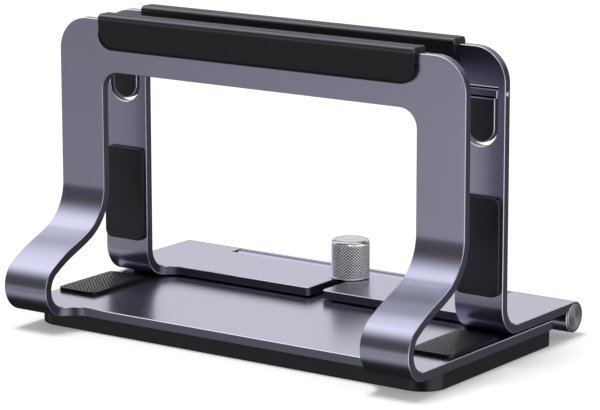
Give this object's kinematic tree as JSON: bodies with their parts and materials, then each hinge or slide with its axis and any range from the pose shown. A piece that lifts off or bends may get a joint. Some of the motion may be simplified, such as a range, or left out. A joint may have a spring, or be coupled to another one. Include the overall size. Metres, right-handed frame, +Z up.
{
  "type": "foldable laptop stand",
  "caption": "Vertical laptop stand of bent aluminium frames; the rear frame slides, a knurled knob clamps it, hooks flip out and a hinged support leaf folds below.",
  "frame": {"origin": "middle of the stand's width and depth on the surface it stands on", "axes": "+X along the stand's width, +Y from the front frame to the rear frame and the knob, +Z up"},
  "size_m": [0.2404, 0.1572, 0.156],
  "materials": {
    "anodised_sheet": "space-grey anodised, fine satin",
    "silicone": "matt black",
    "base_rubber": "matt black",
    "textured_rubber": "matt black with a fine woven grain",
    "nylon": "matt",
    "steel": "plain turned steel",
    "turned_metal": "bright, finely turned",
    "knob_steel": "bright knurled steel"
  },
  "bodies": {
    "base": {"front_frame": "anodised_sheet", "base_pad": "base_rubber", "front_cap": "silicone", "left_seat_pad": "textured_rubber", "right_seat_pad": "textured_rubber", "threaded_bush": "steel"},
    "rear_slider": {"rear_frame": "anodised_sheet", "rear_cap": "silicone", "left_side_pad": "silicone", "right_side_pad": "silicone", "left_glide": "nylon", "right_glide": "nylon", "hinge_pin": "steel", "left_hinge_disc": "turned_metal", "right_hinge_disc": "turned_metal", "left_hook_pin": "steel", "right_hook_pin": "steel"},
    "left_hook": {"left_hook": "anodised_sheet", "left_hook_pad": "silicone"},
    "right_hook": {"right_hook": "anodised_sheet", "right_hook_pad": "silicone"},
    "knob": {"clamp_knob": "knob_steel", "knob_washer": "nylon"},
    "leaf": {"support_leaf": "anodised_sheet", "left_leaf_foot": "base_rubber", "right_leaf_foot": "base_rubber"}
  },
  "joints": [
    {"name": "rear_slide", "type": "slide", "parent": "base", "child": "rear_slider", "axis": [0, 1, 0], "range_m": [-0.004, 0.025]},
    {"name": "knob_turn", "type": "hinge", "parent": "base", "child": "knob", "pos_m": [0, 0.05094, 0.0182], "axis": [0, 0, 1], "continuous": true},
    {"name": "left_hook_flip", "type": "hinge", "parent": "rear_slider", "child": "left_hook", "pos_m": [-0.1066, 0.00469, 0.1313], "axis": [-1, 0, 0], "range_deg": [0, 90]},
    {"name": "right_hook_flip", "type": "hinge", "parent": "rear_slider", "child": "right_hook", "pos_m": [0.1066, 0.00469, 0.1313], "axis": [-1, 0, 0], "range_deg": [0, 90]},
    {"name": "leaf_swing", "type": "hinge", "parent": "rear_slider", "child": "leaf", "pos_m": [0, 0.07084, 0.0104], "axis": [1, 0, 0], "range_deg": [0, 180]}
  ]
}
